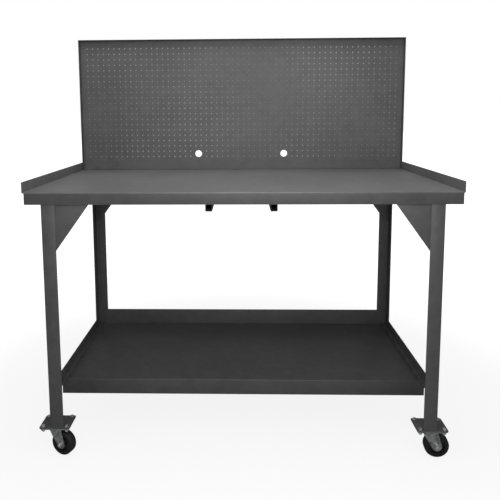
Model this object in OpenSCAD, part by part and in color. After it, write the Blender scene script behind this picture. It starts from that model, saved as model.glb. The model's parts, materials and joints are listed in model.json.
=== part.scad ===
// Mobile steel workbench: a folded sheet worktop with a pegboard back, four angle legs with
// gussets, a lower shelf on side rails, and four swivel casters under the legs.
// X runs along the bench, Y from the front to the back and Z up. The origin is on the floor,
// under the middle of the bench. All sizes are in millimetres.

/* [Worktop] */
// Width over the side lips
top_w = 1524; // [1220:1:1830]
// Depth over the front skirt and the back lip
top_d = 762; // [620:1:920]
// Height of the working surface above the floor
top_z = 984; // [860:1:1100]
// Thickness of the worktop sheet
top_t = 2.7; // [2:0.1:4]
// Inside radius of the folds in every sheet
fold_r = 1.3; // [0.6:0.1:2.5]
// Depth of the front skirt below the working surface
skirt_h = 42; // [32:1:60]
// Height of the side lips above the working surface
lip_h = 37; // [20:1:60]
// Height of the back lip, which stands behind the pegboard
back_lip_h = 50; // [42:1:58]
// Distance that the skirt stops short of the left end of the worktop
skirt_in_left = 7; // [4.5:0.5:20]
// Distance that the skirt stops short of the right end of the worktop
skirt_in_right = 4.5; // [4.5:0.5:20]

/* [Pegboard] */
// Height of the pegboard above the working surface
panel_h = 610; // [400:1:800]
// Thickness of the perforated sheet
peg_t = 1.5; // [1:0.1:2.5]
// Distance between neighbouring peg holes
peg_pitch = 25.4; // [20:0.1:50]
// Diameter of a peg hole
peg_d = 6.35; // [4:0.05:9]
// Least width of metal between a peg hole and a cord hole
peg_land = 2; // [1:0.5:5]
// Least distance from the outermost peg holes to the edge of the panel and to the worktop
peg_edge = 38; // [30:0.5:60]
// Diameter of the two cord holes
cord_hole_d = 31.8; // [20:0.1:50]
// Distance from the middle of the panel to each cord hole
cord_hole_x = 203.2; // [100:0.1:400]
// Height of the cord holes above the working surface
cord_hole_z = 76.2; // [50:1:150]
// Gap between the fold of the back lip and the lower edge of the pegboard
panel_gap = 1; // [0.8:0.1:4]
// Depth of the rim that stands forward round the panel
rim_d = 26; // [15:1:40]
// Thickness of the rim
rim_t = 2; // [1.5:0.1:3]
// Width of the rim's leg behind the perforated sheet
rim_back = 14; // [10:1:20]

/* [Stiffeners] */
// Distance between the middles of the two channels under the worktop
channel_gap = 228; // [160:1:500]
// Width of a channel
channel_w = 25; // [20:1:50]
// Depth of a channel below the worktop sheet
channel_h = 68; // [40:1:90]
// Thickness of the channel sheet
channel_t = 2; // [1.5:0.1:3]
// Width of each of a channel's weld flanges
channel_flange = 15; // [10:1:25]
// Distance from the front and the back of the worktop to the ends of a channel
channel_in = 25; // [10:1:60]

/* [Legs] */
// Distance from the ends of the worktop to the outer faces of the legs
leg_in = 64; // [20:1:150]
// Distance from the back of the worktop to the back of the rear legs
leg_back_in = 54; // [30:1:120]
// Width of each flange of the leg angle
leg_w = 48; // [40:1:60]
// Thickness of the leg angle
leg_t = 4.8; // [3:0.1:7]
// Radius of the fillet inside the leg angle
leg_fillet = 5; // [3:0.5:8]
// Length of a gusset along the worktop
gusset_w = 185; // [120:1:240]
// Length of a gusset down the leg
gusset_h = 238; // [160:1:300]
// Width of the blunt lower end of a gusset
gusset_toe = 12; // [6:1:30]
// Thickness of a gusset
gusset_t = 4.8; // [3:0.1:8]

/* [Shelf] */
// Height of the shelf surface above the floor
shelf_z = 240; // [200:1:400]
// Distance from the front of the worktop to the front of the shelf
shelf_in = 136; // [80:1:250]
// Thickness of the shelf sheet
shelf_t = 2; // [1.5:0.1:3]
// Depth of the front skirt below the shelf surface
shelf_skirt = 59; // [30:1:80]
// Height of the back lip above the shelf surface
shelf_lip = 69; // [30:1:100]
// Distance that the back lip stops short of the inside of the legs
shelf_lip_in = 22; // [12:1:40]
// Width of the side rails along the shelf
rail_w = 19; // [14:1:30]
// Height of the side rails
rail_h = 35; // [25:1:50]
// Thickness of the side rails
rail_t = 3.2; // [2:0.1:5]

/* [Feet] */
// Length of a foot plate along the bench
foot_l = 112; // [106:1:140]
// Width of a foot plate from front to back
foot_w = 86; // [82:1:120]
// Thickness of a foot plate
foot_t = 4.8; // [3:0.1:8]
// Distance that a foot plate stands out past the side of its leg
foot_out = 43; // [41:1:60]
// Corner radius of the foot plates and caster plates
plate_r = 6; // [3:0.5:10]

/* [Casters] */
// Height of a caster from the floor to the top of its plate
caster_h = 112.7; // [111:0.1:120]
// Length of a caster plate along the bench
caster_l = 106; // [100:1:108]
// Width of a caster plate from front to back
caster_w = 82; // [78:1:84]
// Thickness of a caster plate
caster_t = 4; // [3:0.1:5]
// Spacing of the caster bolts along the bench
bolt_x = 86; // [84:0.5:88]
// Spacing of the caster bolts from front to back
bolt_y = 66; // [62:0.5:68]
// Shank diameter of a caster bolt
bolt_d = 7.9; // [6:0.1:9]
// Distance that a bolt stands out of its nut
bolt_tip = 3; // [1:0.5:6]
// Diameter of a wheel
wheel_d = 88.9; // [80:0.1:90]
// Width of a tread
wheel_w = 31.8; // [26:0.1:36]
// Radius of the shoulders of a tread
tread_r = 5; // [2:0.5:8]
// Outer radius of a wheel core
core_r = 32; // [26:0.5:35]
// Distance that the axle trails behind the swivel
trail = 25.4; // [18:0.1:30]
// Thickness of the fork sheet
fork_t = 3.2; // [2.5:0.1:4]
// Gap between the wheel hub and each side of the fork
hub_gap = 0.5; // [0.3:0.1:1.5]
// Gap between the tread and each side of the fork
tread_gap = 1.7; // [1.2:0.1:4]
// Outer radius of a wheel hub
hub_r = 12.5; // [10:0.5:16]
// Half the thickness of the web between hub and rim
web_half = 5; // [3:0.5:9]
// Thickness of the rim of a wheel core
core_rim_t = 3.5; // [2:0.5:6]
// Distance by which the hub and the rim of a wheel core widen towards the web
core_draft = 1.5; // [0.5:0.5:3]
// Distance that the tread stands out past each side of the core
tread_lip = 1.5; // [0.5:0.5:3]
// Shank diameter of an axle bolt
axle_d = 9.5; // [8:0.1:12]
// Outer diameter of an axle sleeve
sleeve_d = 12.7; // [12:0.1:15]
// Radius of the eye at the lower end of a fork
axle_eye_r = 17; // [12:0.5:20]
// Diameter of a kingpin
king_d = 12; // [10:0.1:14]
// Radius of the turned head under the crown
king_head_r = 13; // [11:0.5:16]
// Height of the turned head
king_head_h = 7; // [5:0.5:9]
// Depth of the kingpin's countersunk head
king_seat_h = 3; // [2:0.1:3.5]
// Diameter of the balls in a swivel race
ball_d = 5.2; // [4:0.1:6]
// Radius of the circle that the balls run on
race_r = 24; // [22:0.5:26]
// Number of balls in a race
ball_n = 18; // [12:1:22]
// Distance from the underside of the plate to the middle of the balls
race_drop = 5; // [4.5:0.1:6]
// Gap between the two halves of a race
race_gap = 2; // [1.5:0.1:3]
// Width of metal left outside the circle of the balls
race_land = 5; // [4:0.5:6]
// Thickness of the dust shroud round a race
shroud_t = 1.8; // [1:0.1:2.5]
// Direction in which the front left wheel trails
trail_front_left = -21; // [-180:1:180]
// Direction in which the front right wheel trails
trail_front_right = -5; // [-180:1:180]
// Direction in which the rear left wheel trails
trail_rear_left = 8; // [-180:1:180]
// Direction in which the rear right wheel trails
trail_rear_right = -12; // [-180:1:180]

/* [Hidden] */
$fn = 48;

// Facets on screen of the smallest rounds
SMALL_FN = 24;

paint = "#4b4c4f";
zinc = "#b6babf";
steel = "#d2d5d8";
plastic = "#2b2c2e";
rubber = "#161617";

// Corners of the bench: the first value is the side, the second is the front or the back
FRONT_LEFT = [-1, -1];
FRONT_RIGHT = [1, -1];
REAR_LEFT = [-1, 1];
REAR_RIGHT = [1, 1];
CORNERS = [FRONT_LEFT, FRONT_RIGHT, REAR_LEFT, REAR_RIGHT];

// Clearances: beside a fixed sheet, round a bolt, of a running pin, and between turning faces
seat_gap = 0.3;
bolt_gap = 0.3;
run_gap = 0.05;
turn_gap = 0.3;
shroud_gap = 1.5;

// Distance that a cut runs past the surface it opens
past = 1;

// Hexagon hardware: heights of a head and a nut and the width across flats, in shank diameters
head_ratio = 0.65;
nut_ratio = 0.85;
flats_ratio = 1.6;

// Worktop and panel
front_y = -top_d / 2;
top_back_y = top_d / 2;
top_reach = top_t + fold_r;
top_under_z = top_z - top_t;
back_lip_z = top_z + back_lip_h;
panel_z = top_z + fold_r + panel_gap;
panel_top_z = top_z + panel_h;
panel_back_y = top_back_y - top_t;
rim_back_y = panel_back_y + rim_t;
rim_half = top_w / 2 - top_t - seat_gap;
peg_half = rim_half - rim_t - fold_r - seat_gap;
peg_top_z = panel_top_z - rim_t - fold_r - seat_gap;
peg_columns = floor((top_w - 2 * peg_edge) / peg_pitch) + 1;
peg_rows = floor((panel_h - 2 * peg_edge) / peg_pitch) + 1;

// Legs and shelf
leg_x = top_w / 2 - leg_in;
leg_front_y = front_y + top_t;
leg_rear_y = top_back_y - leg_back_in;
leg_inside_x = leg_x - leg_t;
leg_base_z = caster_h + foot_t;
leg_corner = leg_t + leg_fillet + seat_gap;
shelf_reach = shelf_t + fold_r;
shelf_half_w = leg_inside_x - seat_gap;
shelf_front_y = front_y + shelf_in;
shelf_back_y = leg_rear_y - leg_t;

// Feet and casters
foot_x = leg_x + foot_out - foot_l / 2;
foot_front_y = leg_front_y + foot_w / 2;
foot_rear_y = leg_rear_y - foot_w / 2;
wheel_r = wheel_d / 2;
plate_z = caster_h - caster_t;
ball_z = plate_z - race_drop;
groove_r = ball_d / 2 + turn_gap / 2;
boss_z = ball_z + race_gap / 2;
boss_r = race_r + race_land;
crown_z = ball_z - race_gap / 2;
crown_under_z = crown_z - fork_t;
shroud_in = boss_r + shroud_gap;
shroud_r = shroud_in + shroud_t;
king_z = crown_under_z - turn_gap;
king_bore = king_d + 2 * run_gap;
fork_in = wheel_w / 2 + tread_gap;
fork_out = fork_in + fork_t;
cheek_fore = race_r + race_land;
cheek_drop = 2 * fork_t;
hub_half = fork_in - hub_gap;
core_half = wheel_w / 2 - tread_lip;

function corner_x(c) = c[0] * foot_x;
function corner_y(c) = c[1] < 0 ? foot_front_y : foot_rear_y;
function trail_turn(c) = c[1] < 0
    ? (c[0] < 0 ? trail_front_left : trail_front_right)
    : (c[0] < 0 ? trail_rear_left : trail_rear_right);

// Point where a line from p touches the circle of radius r round c, on the side that s gives
function touch(p, c, r, s) =
    let (
        d = p - c,
        turn = atan2(d[1], d[0]) + s * acos(r / norm(d))
    )
    c + r * [cos(turn), sin(turn)];

// Extrudes an outline of the YZ plane along X, centred
module along_x(length) {
    translate([-length / 2, 0, 0]) rotate([90, 0, 90]) linear_extrude(length) children();
}

// Extrudes an outline of the XZ plane along Y, from y0 to y1
module along_y(y0, y1) {
    translate([0, y1, 0]) rotate([90, 0, 0]) linear_extrude(y1 - y0) children();
}

// Quarter ring that turns a folded corner of a sheet, in the first quadrant of its bend axis
module fold_2d(t) {
    intersection() {
        difference() {
            circle(fold_r + t);
            circle(fold_r);
        }
        square(fold_r + t);
    }
}

// Flange that folds down from a sheet whose outer top corner is the origin
module fold_down_2d(t, h) {
    reach = fold_r + t;
    translate([reach, -reach]) mirror([1, 0]) fold_2d(t);
    translate([0, -h]) square([t, h - reach]);
}

// Plate with rounded corners, centred, standing on z = 0
module rounded_plate(l, w, t, r) {
    linear_extrude(t) {
        square([l - 2 * r, w], center = true);
        square([l, w - 2 * r], center = true);
        for (x = [-1, 1], y = [-1, 1]) {
            translate([x * (l / 2 - r), y * (w / 2 - r)]) circle(r);
        }
    }
}

// Hexagon prism for a shank of diameter d, standing on z = 0
module hexagon(d, h) {
    cylinder(h = h, d = flats_ratio * d / cos(30), $fn = 6);
}

// Head of a bolt of diameter d, standing on z = 0
module bolt_head(d) {
    hexagon(d, head_ratio * d);
}

// Nut for a bolt of diameter d, standing on z = 0
module nut(d) {
    h = nut_ratio * d;
    difference() {
        hexagon(d, h);
        translate([0, 0, -past]) cylinder(h = h + 2 * past, d = d + 2 * run_gap);
    }
}

// Shank from z0 to z1
module shank(d, z0, z1) {
    translate([0, 0, z0]) cylinder(h = z1 - z0, d = d);
}

// Round hole through a plate from z = 0 to z = t, with a clearance round its bolt
module bolt_hole(d, t) {
    translate([0, 0, -past]) cylinder(h = t + 2 * past, d = d + 2 * bolt_gap);
}

// Worktop sheet, folded down at the front and up at the back and the sides
module worktop() {
    flat_w = top_w - 2 * top_reach;
    skirt_w = top_w - skirt_in_left - skirt_in_right;
    color(paint) {
        translate([-flat_w / 2, front_y + top_reach, top_under_z]) {
            cube([flat_w, top_back_y - front_y - 2 * top_reach, top_t]);
        }
        translate([(skirt_in_left - skirt_in_right) / 2, 0, 0]) along_x(skirt_w) {
            translate([front_y, top_z]) fold_down_2d(top_t, skirt_h);
        }
        along_x(2 * peg_half) translate([top_back_y, top_under_z]) {
            mirror([1, 0]) mirror([0, 1]) fold_down_2d(top_t, back_lip_h + top_t);
        }
        for (side = [-1, 1]) {
            along_y(front_y, top_back_y) translate([side * top_w / 2, top_under_z]) {
                scale([-side, 1]) mirror([0, 1]) fold_down_2d(top_t, lip_h + top_t);
            }
        }
    }
}

// Whether a peg hole at x and z is clear of both cord holes
function peg_is_clear(x, z) =
    norm([abs(x) - cord_hole_x, z - top_z - cord_hole_z]) > (cord_hole_d + peg_d) / 2 + peg_land;

// Perforated sheet of the pegboard, which stands on the worktop in front of the back lip
module peg_panel() {
    color(paint) difference() {
        along_y(panel_back_y - peg_t, panel_back_y) {
            translate([-peg_half, panel_z]) square([2 * peg_half, peg_top_z - panel_z]);
        }
        through_panel() for (side = [-1, 1]) {
            translate([side * cord_hole_x, top_z + cord_hole_z]) circle(d = cord_hole_d);
        }
        for (column = [0 : peg_columns - 1]) {
            through_panel() peg_column_2d(column);
        }
    }
}

// Extrudes an outline of the XZ plane right through the perforated sheet
module through_panel() {
    along_y(panel_back_y - peg_t - past, panel_back_y + past) children();
}

// One upright column of peg holes, without those that a cord hole takes the place of
module peg_column_2d(column) {
    x = (column - (peg_columns - 1) / 2) * peg_pitch;
    for (row = [0 : peg_rows - 1]) {
        z = top_z + peg_edge + row * peg_pitch;
        if (peg_is_clear(x, z)) {
            translate([x, z]) circle(d = peg_d, $fn = SMALL_FN);
        }
    }
}

// Outline from y0 to y1 and 2 * half wide, with its two corners at y1 rounded
module rounded_back_2d(half, y0, y1, r) {
    translate([-half, y0]) square([2 * half, y1 - r - y0]);
    translate([r - half, y1 - r]) square([2 * (half - r), r]);
    for (side = [-1, 1]) {
        translate([side * (half - r), y1 - r]) circle(r);
    }
}

// Outline from y0 to y1 and from z0 to z1, with its upper corner at y1 rounded
module rounded_top_2d(z0, z1, y0, y1, r) {
    translate([y0, z0]) square([y1 - r - y0, z1 - z0]);
    translate([y1 - r, z0]) square([r, z1 - r - z0]);
    translate([y1 - r, z1 - r]) circle(r);
}

// Block inside one skin of the rim, whose back, sides and top meet in folds of radius r
module rim_block(half, z0, z1, y0, y1, r) {
    intersection() {
        translate([0, 0, z0]) linear_extrude(z1 - z0) rounded_back_2d(half, y0, y1, r);
        along_x(2 * half) rounded_top_2d(z0, z1, y0, y1, r);
    }
}

// Rim round the sides and the top of the pegboard, cut away behind for the back lip
module panel_rim() {
    front = rim_back_y - rim_d;
    window = rim_half - rim_back;
    notch = rim_half - rim_t - fold_r;
    color(paint) difference() {
        rim_block(rim_half, panel_z, panel_top_z, front, rim_back_y, fold_r + rim_t);
        rim_block(rim_half - rim_t, panel_z - past, panel_top_z - rim_t, front - past, panel_back_y, fold_r);
        along_y(panel_back_y - past, rim_back_y + past) {
            translate([-window, panel_z]) square([2 * window, panel_top_z - rim_back - panel_z]);
            translate([-notch, panel_z - past]) {
                square([2 * notch, back_lip_z + seat_gap - panel_z + past]);
            }
        }
    }
}

// Hat section under the worktop, closed below, with its two flanges welded to the sheet
module channel(side) {
    reach = channel_t + fold_r;
    color(paint) along_y(front_y + channel_in, top_back_y - channel_in) {
        translate([side * channel_gap / 2, top_under_z]) for (half = [0, 1]) mirror([half, 0]) {
            translate([channel_w / 2, -channel_h]) mirror([1, 0]) mirror([0, 1]) {
                fold_down_2d(channel_t, channel_h - reach);
            }
            translate([0, -channel_h]) square([channel_w / 2 - reach, channel_t]);
            translate([channel_w / 2 - channel_t, 0]) {
                translate([reach, -reach]) mirror([1, 0]) fold_2d(channel_t);
                translate([reach, -channel_t]) square([channel_flange - reach, channel_t]);
            }
        }
    }
}

// Angle section with its outer corner at the origin and its flanges along +x and +y
module angle_2d(w, t, fillet) {
    toe = t / 2;
    difference() {
        union() {
            square([w, t]);
            square([t, w]);
            translate([t, t]) square(fillet);
        }
        translate([t + fillet, t + fillet]) circle(fillet);
        translate([w - toe, t - toe]) difference() {
            square(t);
            circle(toe);
        }
        translate([t - toe, w - toe]) difference() {
            square(t);
            circle(toe);
        }
    }
}

// Puts a leg's corner at its outer corner, with x and y pointing into the bench
module at_leg(c) {
    translate([c[0] * leg_x, c[1] < 0 ? leg_front_y : leg_rear_y, 0]) {
        scale([-c[0], -c[1], 1]) children();
    }
}

// Leg of equal angle; the top of a front leg is chamfered to clear the fold of the skirt
module leg(c) {
    chamfer = fold_r + seat_gap;
    color(paint) at_leg(c) difference() {
        translate([0, 0, leg_base_z]) linear_extrude(top_under_z - leg_base_z) {
            angle_2d(leg_w, leg_t, leg_fillet);
        }
        if (c[1] < 0) {
            translate([leg_w / 2, 0, top_under_z]) along_x(leg_w + 2 * past) {
                polygon([[-past, past], [chamfer + past, past], [-past, -chamfer - past]]);
            }
        }
    }
}

// Gusset plate behind a leg's flange, from the leg to the underside of the worktop
module gusset(c) {
    color(paint) at_leg(c) along_y(leg_t, leg_t + gusset_t) {
        translate([leg_corner, top_under_z]) polygon([
            [0, 0],
            [gusset_w, 0],
            [gusset_toe, -gusset_h],
            [0, -gusset_h]
        ]);
    }
}

// Shelf sheet, folded down at the front and up at the back, with its rear corners cut for the legs
module shelf() {
    back = shelf_back_y - shelf_reach;
    cut = leg_fillet;
    lip_w = 2 * (leg_inside_x - shelf_lip_in);
    color(paint) {
        translate([0, 0, shelf_z - shelf_t]) linear_extrude(shelf_t) polygon([
            [-shelf_half_w, shelf_front_y + shelf_reach],
            [shelf_half_w, shelf_front_y + shelf_reach],
            [shelf_half_w, back - cut],
            [shelf_half_w - cut, back],
            [cut - shelf_half_w, back],
            [-shelf_half_w, back - cut]
        ]);
        along_x(2 * shelf_half_w) {
            translate([shelf_front_y, shelf_z]) fold_down_2d(shelf_t, shelf_skirt);
        }
        along_x(lip_w) translate([shelf_back_y, shelf_z - shelf_t]) {
            mirror([1, 0]) mirror([0, 1]) fold_down_2d(shelf_t, shelf_lip + shelf_t);
        }
    }
}

// Side rail of unequal angle, which lies on the shelf sheet and is welded between two legs
module rail(side) {
    color(paint) along_y(leg_front_y + leg_corner, leg_rear_y - leg_corner) {
        translate([side * leg_inside_x, shelf_z]) scale([-side, 1]) {
            square([rail_w, rail_t]);
            square([rail_t, rail_h]);
        }
    }
}

// Puts a copy at the middle of a foot, on the floor
module at_foot(c) {
    translate([corner_x(c), corner_y(c), 0]) children();
}

// Puts a copy on each of the four bolts of a foot
module foot_bolts() {
    for (x = [-1, 1], y = [-1, 1]) {
        translate([x * bolt_x / 2, y * bolt_y / 2, 0]) children();
    }
}

// Foot plate welded under a leg
module foot(c) {
    color(paint) at_foot(c) translate([0, 0, caster_h]) difference() {
        rounded_plate(foot_l, foot_w, foot_t, plate_r);
        foot_bolts() bolt_hole(bolt_d, foot_t);
    }
}

// Bolts that hold the casters, their heads on the foot plates
module caster_bolts() {
    color(zinc) for (c = CORNERS) at_foot(c) foot_bolts() {
        shank(bolt_d, plate_z - nut_ratio * bolt_d - bolt_tip, leg_base_z);
        translate([0, 0, leg_base_z]) bolt_head(bolt_d);
    }
}

// Nuts under the caster plates
module caster_nuts() {
    color(zinc) for (c = CORNERS) at_foot(c) foot_bolts() {
        translate([0, 0, plate_z - nut_ratio * bolt_d]) nut(bolt_d);
    }
}

// Ring groove in which the balls of a race run
module race_groove() {
    translate([0, 0, ball_z]) rotate_extrude() translate([race_r, 0]) circle(groove_r, $fn = SMALL_FN);
}

// Caster plate with the upper half of the race and a countersunk seat for the kingpin
module caster_plate(c) {
    color(zinc) at_foot(c) difference() {
        union() {
            translate([0, 0, plate_z]) rounded_plate(caster_l, caster_w, caster_t, plate_r);
            translate([0, 0, boss_z]) cylinder(h = plate_z - boss_z, r = boss_r);
        }
        shank(king_bore, boss_z - past, caster_h + past);
        translate([0, 0, caster_h - king_seat_h]) {
            cylinder(h = king_seat_h, d1 = king_bore, d2 = king_bore + 2 * king_seat_h);
        }
        race_groove();
        translate([0, 0, plate_z]) foot_bolts() bolt_hole(bolt_d, caster_t);
    }
}

// Riveted kingpin: a countersunk head in the plate, and a turned head under the crown
module kingpin(c) {
    r = king_d / 2;
    bevel = king_head_h / 2;
    color(zinc) at_foot(c) rotate_extrude() polygon([
        [0, caster_h],
        [r + king_seat_h, caster_h],
        [r, caster_h - king_seat_h],
        [r, king_z],
        [king_head_r, king_z],
        [king_head_r, king_z - king_head_h + bevel],
        [king_head_r - bevel, king_z - king_head_h],
        [0, king_z - king_head_h]
    ]);
}

// Turns a swivelling piece to the direction in which its wheel trails, which is +x here
module at_swivel(c) {
    at_foot(c) rotate([0, 0, trail_turn(c)]) children();
}

// Puts an axle piece on its wheel's centre, with z pointing along the axle to the far side
module at_axle(c) {
    at_swivel(c) translate([trail, 0, wheel_r]) rotate([-90, 0, 0]) children();
}

// Balls of a swivel race, between the plate and the crown of the fork
module balls(c) {
    color(steel) at_swivel(c) for (i = [0 : ball_n - 1]) {
        rotate([0, 0, i * 360 / ball_n]) translate([race_r, 0, ball_z]) sphere(d = ball_d, $fn = SMALL_FN);
    }
}

// Outline of a fork's cheek, which tapers from the crown to the eye of the axle
module cheek_2d() {
    eye = [trail, wheel_r];
    back = [-race_r, crown_under_z - cheek_drop];
    fore = [cheek_fore, crown_under_z - cheek_drop];
    polygon([
        [-race_r, crown_z],
        back,
        touch(back, eye, axle_eye_r, 1),
        eye,
        touch(fore, eye, axle_eye_r, -1),
        fore,
        [cheek_fore, crown_z]
    ]);
    translate(eye) circle(axle_eye_r);
}

// Swivel fork: a crown with the lower half of the race and a dust shroud, and a cheek each side
module fork(c) {
    color(zinc) at_swivel(c) difference() {
        union() {
            shank(2 * shroud_r, crown_under_z, plate_z - shroud_gap);
            for (side = [0, 1]) mirror([0, side, 0]) {
                along_y(fork_in, fork_out) cheek_2d();
            }
        }
        shank(2 * shroud_in, crown_z, caster_h);
        shank(king_bore + 2 * run_gap, crown_under_z - past, crown_z + past);
        race_groove();
        translate([trail, 0, wheel_r]) rotate([-90, 0, 0]) {
            shank(axle_d + 2 * run_gap, -fork_out - past, fork_out + past);
        }
    }
}

// Axle bolt, with its head on the far cheek
module axle(c) {
    color(zinc) at_axle(c) {
        translate([0, 0, fork_out]) bolt_head(axle_d);
        shank(axle_d, -fork_out - nut_ratio * axle_d - bolt_tip, fork_out);
    }
}

// Nut on the near end of an axle bolt
module axle_nut(c) {
    color(zinc) at_axle(c) translate([0, 0, -fork_out - nut_ratio * axle_d]) nut(axle_d);
}

// Sleeve that the axle bolt clamps between the cheeks, on which the wheel runs
module sleeve(c) {
    color(steel) at_axle(c) difference() {
        shank(sleeve_d, -fork_in, fork_in);
        shank(axle_d + 2 * run_gap, -fork_in - past, fork_in + past);
    }
}

// Wheel core: a hub, a web and a rim in one turned outline
module core(c) {
    bore = sleeve_d / 2 + run_gap;
    rim_in = core_r - core_rim_t;
    half = [
        [bore, hub_half],
        [hub_r, hub_half],
        [hub_r + core_draft, web_half],
        [rim_in - core_draft, web_half],
        [rim_in, core_half],
        [core_r, core_half]
    ];
    far_half = [for (i = [len(half) - 1 : -1 : 0]) [half[i][0], -half[i][1]]];
    color(plastic) at_axle(c) rotate_extrude() polygon(concat(half, far_half));
}

// Tread with round shoulders, pressed on the core
module tread(c) {
    inner = core_r + run_gap;
    color(rubber) at_axle(c) rotate_extrude() {
        translate([inner, -wheel_w / 2]) square([wheel_r - tread_r - inner, wheel_w]);
        translate([inner, tread_r - wheel_w / 2]) square([wheel_r - inner, wheel_w - 2 * tread_r]);
        for (side = [-1, 1]) {
            translate([wheel_r - tread_r, side * (wheel_w / 2 - tread_r)]) circle(tread_r);
        }
    }
}

worktop();
peg_panel();
panel_rim();
channel(-1);  // channel_left
channel(1);  // channel_right
leg(FRONT_LEFT);  // leg_front_left
leg(FRONT_RIGHT);  // leg_front_right
leg(REAR_LEFT);  // leg_rear_left
leg(REAR_RIGHT);  // leg_rear_right
gusset(FRONT_LEFT);  // gusset_front_left
gusset(FRONT_RIGHT);  // gusset_front_right
gusset(REAR_LEFT);  // gusset_rear_left
gusset(REAR_RIGHT);  // gusset_rear_right
shelf();
rail(-1);  // rail_left
rail(1);  // rail_right
foot(FRONT_LEFT);  // foot_front_left
foot(FRONT_RIGHT);  // foot_front_right
foot(REAR_LEFT);  // foot_rear_left
foot(REAR_RIGHT);  // foot_rear_right
caster_bolts();
caster_nuts();
caster_plate(FRONT_LEFT);  // plate_front_left
caster_plate(FRONT_RIGHT);  // plate_front_right
caster_plate(REAR_LEFT);  // plate_rear_left
caster_plate(REAR_RIGHT);  // plate_rear_right
kingpin(FRONT_LEFT);  // kingpin_front_left
kingpin(FRONT_RIGHT);  // kingpin_front_right
kingpin(REAR_LEFT);  // kingpin_rear_left
kingpin(REAR_RIGHT);  // kingpin_rear_right
balls(FRONT_LEFT);  // balls_front_left
balls(FRONT_RIGHT);  // balls_front_right
balls(REAR_LEFT);  // balls_rear_left
balls(REAR_RIGHT);  // balls_rear_right
fork(FRONT_LEFT);  // fork_front_left
fork(FRONT_RIGHT);  // fork_front_right
fork(REAR_LEFT);  // fork_rear_left
fork(REAR_RIGHT);  // fork_rear_right
axle(FRONT_LEFT);  // axle_front_left
axle(FRONT_RIGHT);  // axle_front_right
axle(REAR_LEFT);  // axle_rear_left
axle(REAR_RIGHT);  // axle_rear_right
axle_nut(FRONT_LEFT);  // nut_front_left
axle_nut(FRONT_RIGHT);  // nut_front_right
axle_nut(REAR_LEFT);  // nut_rear_left
axle_nut(REAR_RIGHT);  // nut_rear_right
sleeve(FRONT_LEFT);  // sleeve_front_left
sleeve(FRONT_RIGHT);  // sleeve_front_right
sleeve(REAR_LEFT);  // sleeve_rear_left
sleeve(REAR_RIGHT);  // sleeve_rear_right
core(FRONT_LEFT);  // core_front_left
core(FRONT_RIGHT);  // core_front_right
core(REAR_LEFT);  // core_rear_left
core(REAR_RIGHT);  // core_rear_right
tread(FRONT_LEFT);  // tread_front_left
tread(FRONT_RIGHT);  // tread_front_right
tread(REAR_LEFT);  // tread_rear_left
tread(REAR_RIGHT);  // tread_rear_right
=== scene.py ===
# %% [markdown]
# # A mobile workbench in dark powder coat
#
# A folded steel worktop stands on four angle legs, with a perforated back panel above and a
# shelf below. Each leg ends in a swivel caster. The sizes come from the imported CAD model, so
# this lesson is about finishes, small pressed and rolled parts, welds and light.

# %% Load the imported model
import json
import math

import bmesh
import bpy
from mathutils import Matrix, Vector


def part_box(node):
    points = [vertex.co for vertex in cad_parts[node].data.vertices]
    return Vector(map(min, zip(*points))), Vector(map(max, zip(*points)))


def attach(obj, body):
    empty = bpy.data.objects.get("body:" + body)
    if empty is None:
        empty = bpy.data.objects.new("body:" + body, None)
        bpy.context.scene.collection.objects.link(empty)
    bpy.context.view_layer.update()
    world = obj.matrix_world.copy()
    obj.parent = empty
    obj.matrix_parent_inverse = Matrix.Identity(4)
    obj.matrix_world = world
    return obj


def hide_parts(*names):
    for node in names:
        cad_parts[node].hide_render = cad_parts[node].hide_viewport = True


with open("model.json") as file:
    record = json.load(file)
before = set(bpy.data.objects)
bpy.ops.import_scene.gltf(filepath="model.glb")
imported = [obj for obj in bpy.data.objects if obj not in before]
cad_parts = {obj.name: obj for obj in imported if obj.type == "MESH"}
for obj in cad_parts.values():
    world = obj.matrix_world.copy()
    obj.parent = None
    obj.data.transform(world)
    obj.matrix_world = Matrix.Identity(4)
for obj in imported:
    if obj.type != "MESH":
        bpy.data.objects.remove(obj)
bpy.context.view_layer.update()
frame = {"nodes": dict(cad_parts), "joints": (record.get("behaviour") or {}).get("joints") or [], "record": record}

MM = 0.001
CORNERS = ("front_left", "front_right", "rear_left", "rear_right")
nodes = frame["nodes"]
joints = {joint["name"]: joint for joint in frame["joints"]}

# %% [markdown]
# ## Helpers
#
# Paint charts and datasheets give colours as sRGB hex values, and shaders work in linear
# light, so one function turns the one into the other. A second one adds a shader node with its
# settings and its links in a single line, which keeps each recipe short enough to read. A node
# whose sockets share a name, such as a mix, takes them by number: _0 is its first input.


# %% Colour and shader-node helpers
def colour(text):
    """Linear RGBA of an sRGB hex value."""
    channels = [int(text[i : i + 2], 16) / 255 for i in (1, 3, 5)]
    linear = [c / 12.92 if c <= 0.04045 else ((c + 0.055) / 1.055) ** 2.4 for c in channels]
    return (*linear, 1.0)


def add(tree, kind, settings=None, **inputs):
    """Adds a shader node: settings are its properties, inputs its values or the sockets to link."""
    node = tree.nodes.new("ShaderNode" + kind)
    for name, value in (settings or {}).items():
        setattr(node, name, value)
    for name, value in inputs.items():
        socket = node.inputs[int(name[1:])] if name[1:].isdigit() else node.inputs[name.replace("_", " ")]
        if isinstance(value, bpy.types.NodeSocket):
            tree.links.new(value, socket)
        else:
            socket.default_value = value
    return node


def empty_material(name):
    """A material without nodes: gives the material, its tree and its object coordinates."""
    material = bpy.data.materials.new(name)
    material.use_nodes = True
    material.node_tree.nodes.clear()
    return material, material.node_tree, add(material.node_tree, "TexCoord").outputs["Object"]


def surface_material(name):
    """A material with a Principled shader: gives the material, its tree, its shader and coordinates."""
    material, tree, place = empty_material(name)
    shader = add(tree, "BsdfPrincipled")
    add(tree, "OutputMaterial", Surface=shader.outputs["BSDF"])
    return material, tree, shader, place


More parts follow.
